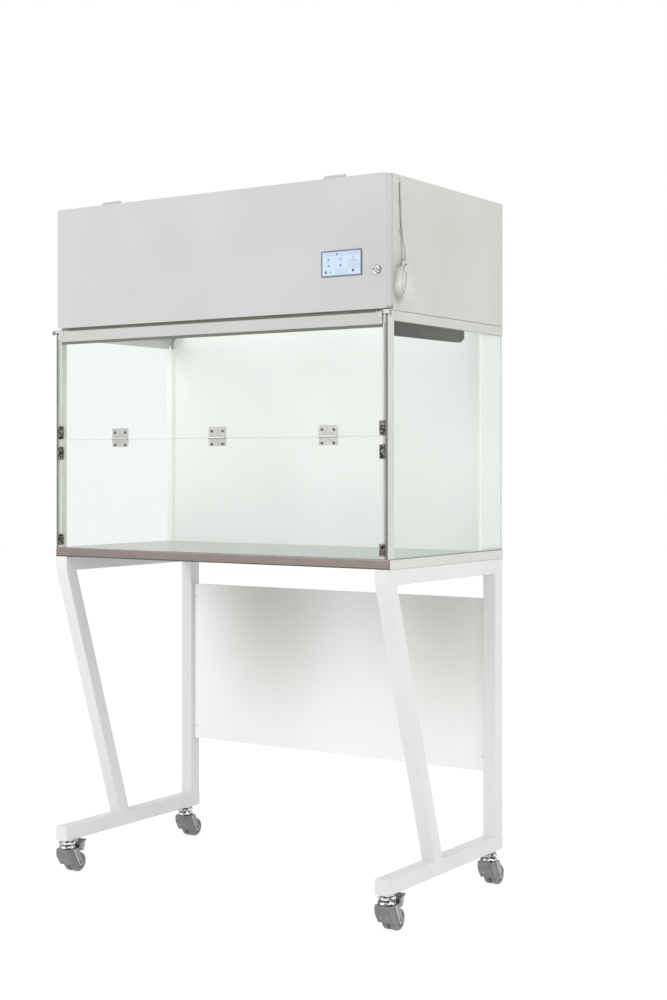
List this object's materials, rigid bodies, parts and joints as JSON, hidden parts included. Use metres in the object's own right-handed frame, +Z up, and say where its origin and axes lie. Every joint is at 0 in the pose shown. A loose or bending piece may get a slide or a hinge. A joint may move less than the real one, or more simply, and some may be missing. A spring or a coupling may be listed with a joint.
{
  "type": "laminar flow hood",
  "caption": "Vertical laminar flow hood with folding glass front sash and touch screen, on a wheeled stand of square tube.",
  "frame": {"origin": "on the floor, under the middle of the part's box", "axes": "+Z up, the glass front faces -Y, +X to the right seen from the front"},
  "size_m": [1.15, 0.6166, 1.881],
  "materials": {
    "shell_paint": "fine-textured off-white powder coat",
    "socket_plastic": "moulded plastic",
    "hinge_steel": "brushed stainless steel",
    "screw_steel": "plain steel",
    "bezel_plastic": "dark satin plastic",
    "screen_glass": "lit touch screen",
    "grille_plastic": "moulded plastic",
    "filter_media": "pleated glass paper",
    "galvanised_sheet": "plain sheet and extrusion",
    "motor_casting": "cast housing",
    "impeller_sheet": "coated sheet",
    "ceiling_paint": "dark satin coating",
    "lamp_glass": "opal tube",
    "control_casing": "moulded plastic",
    "pane_glass": "clear float glass",
    "post_paint": "smooth white powder coat",
    "catch_steel": "dark plated steel",
    "worktop_steel": "brushed stainless steel",
    "strip_steel": "brushed steel edge",
    "stand_paint": "smooth white powder coat",
    "caster_zinc": "bright zinc",
    "fork_paint": "grey coating",
    "wheel_polymer": "grey tread and hub",
    "brake_steel": "pressed steel",
    "lead_sheath": "smooth sheath"
  },
  "bodies": {
    "hood": {"housing_shell": "shell_paint", "front_frame": "shell_paint", "side_rail_left": "shell_paint", "side_rail_right": "shell_paint", "socket_base": "socket_plastic", "cover_hinge_fixed": "hinge_steel", "pivot_pins": "hinge_steel", "prefilter_grille": "grille_plastic", "port_plug": "grille_plastic", "prefilter_mat": "filter_media", "filter_pack": "filter_media", "fan_deck": "galvanised_sheet", "filter_frame": "galvanised_sheet", "fan_motor": "motor_casting", "air_diffuser": "ceiling_paint", "wiring_cover": "ceiling_paint", "lamp_tube": "lamp_glass", "control_box": "control_casing", "side_glass_left": "pane_glass", "side_glass_right": "pane_glass", "front_post_left": "post_paint", "front_post_right": "post_paint", "rear_wall": "post_paint", "worktop": "worktop_steel", "edge_strip": "strip_steel", "side_frame_left": "stand_paint", "side_frame_right": "stand_paint", "modesty_panel": "stand_paint", "caster_head_fl": "caster_zinc", "caster_head_fr": "caster_zinc", "caster_head_rl": "caster_zinc", "caster_head_rr": "caster_zinc", "side_lead": "lead_sheath"},
    "cover": {"front_cover": "shell_paint", "cover_hinge_moving": "hinge_steel", "lock_body": "hinge_steel", "screen_bezel": "bezel_plastic", "screen_display": "screen_glass"},
    "lock": {"lock_cam": "screw_steel"},
    "sash": {"header_rail": "shell_paint", "upper_pane": "pane_glass", "pane_hinge_upper": "hinge_steel", "upper_leaf_screws": "screw_steel", "upper_catches": "catch_steel"},
    "lower_sash": {"lower_pane": "pane_glass", "pane_hinge_lower": "hinge_steel", "lower_leaf_screws": "screw_steel", "lower_catches": "catch_steel"},
    "impeller": {"fan_impeller": "impeller_sheet"},
    "socket_lid": {"socket_lid": "socket_plastic"},
    "fork_fl": {"caster_fork_fl": "fork_paint"},
    "wheels_fl": {"caster_wheels_fl": "wheel_polymer"},
    "fork_fr": {"caster_fork_fr": "fork_paint"},
    "wheels_fr": {"caster_wheels_fr": "wheel_polymer"},
    "fork_rl": {"caster_fork_rl": "fork_paint"},
    "wheels_rl": {"caster_wheels_rl": "wheel_polymer"},
    "fork_rr": {"caster_fork_rr": "fork_paint"},
    "wheels_rr": {"caster_wheels_rr": "wheel_polymer"},
    "brake_fl": {"brake_lever_fl": "brake_steel"},
    "brake_fr": {"brake_lever_fr": "brake_steel"}
  },
  "joints": [
    {"name": "cover_hinge", "type": "hinge", "parent": "hood", "child": "cover", "pos_m": [-0.009, -0.2842, 1.876], "axis": [-1, 0, 0], "range_deg": [0, 95]},
    {"name": "lock_turn", "type": "hinge", "parent": "cover", "child": "lock", "pos_m": [0.508, -0.2847, 1.633], "axis": [0, -1, 0], "range_deg": [0, 90]},
    {"name": "sash_pivot", "type": "hinge", "parent": "hood", "child": "sash", "pos_m": [-0.009, -0.2982, 1.525], "axis": [-1, 0, 0], "range_deg": [0, 75]},
    {"name": "pane_fold", "type": "hinge", "parent": "sash", "child": "lower_sash", "pos_m": [-0.009, -0.3041, 1.224], "axis": [-1, 0, 0], "range_deg": [0, 155]},
    {"name": "impeller_spin", "type": "hinge", "parent": "hood", "child": "impeller", "pos_m": [-0.009, 0.0053, 1.69], "axis": [0, 0, 1], "continuous": true},
    {"name": "socket_lid_hinge", "type": "hinge", "parent": "hood", "child": "socket_lid", "pos_m": [0.57, -0.2567, 1.649], "axis": [0, -1, 0], "range_deg": [0, 110]},
    {"name": "swivel_fl", "type": "hinge", "parent": "hood", "child": "fork_fl", "pos_m": [-0.539, -0.2807, 0.08], "axis": [0, 0, 1], "continuous": true},
    {"name": "wheel_roll_fl", "type": "hinge", "parent": "fork_fl", "child": "wheels_fl", "pos_m": [-0.539, -0.2497, 0.027], "axis": [1, 0, 0], "continuous": true},
    {"name": "swivel_fr", "type": "hinge", "parent": "hood", "child": "fork_fr", "pos_m": [0.521, -0.2807, 0.08], "axis": [0, 0, 1], "continuous": true},
    {"name": "wheel_roll_fr", "type": "hinge", "parent": "fork_fr", "child": "wheels_fr", "pos_m": [0.521, -0.2497, 0.027], "axis": [1, 0, 0], "continuous": true},
    {"name": "swivel_rl", "type": "hinge", "parent": "hood", "child": "fork_rl", "pos_m": [-0.539, 0.2503, 0.08], "axis": [0, 0, 1], "continuous": true},
    {"name": "wheel_roll_rl", "type": "hinge", "parent": "fork_rl", "child": "wheels_rl", "pos_m": [-0.539, 0.2813, 0.027], "axis": [1, 0, 0], "continuous": true},
    {"name": "swivel_rr", "type": "hinge", "parent": "hood", "child": "fork_rr", "pos_m": [0.521, 0.2503, 0.08], "axis": [0, 0, 1], "continuous": true},
    {"name": "wheel_roll_rr", "type": "hinge", "parent": "fork_rr", "child": "wheels_rr", "pos_m": [0.521, 0.2813, 0.027], "axis": [1, 0, 0], "continuous": true},
    {"name": "brake_fl", "type": "hinge", "parent": "fork_fl", "child": "brake_fl", "pos_m": [-0.539, -0.2507, 0.073], "axis": [-1, 0, 0], "range_deg": [0, 12]},
    {"name": "brake_fr", "type": "hinge", "parent": "fork_fr", "child": "brake_fr", "pos_m": [0.521, -0.2507, 0.073], "axis": [-1, 0, 0], "range_deg": [0, 12]}
  ]
}
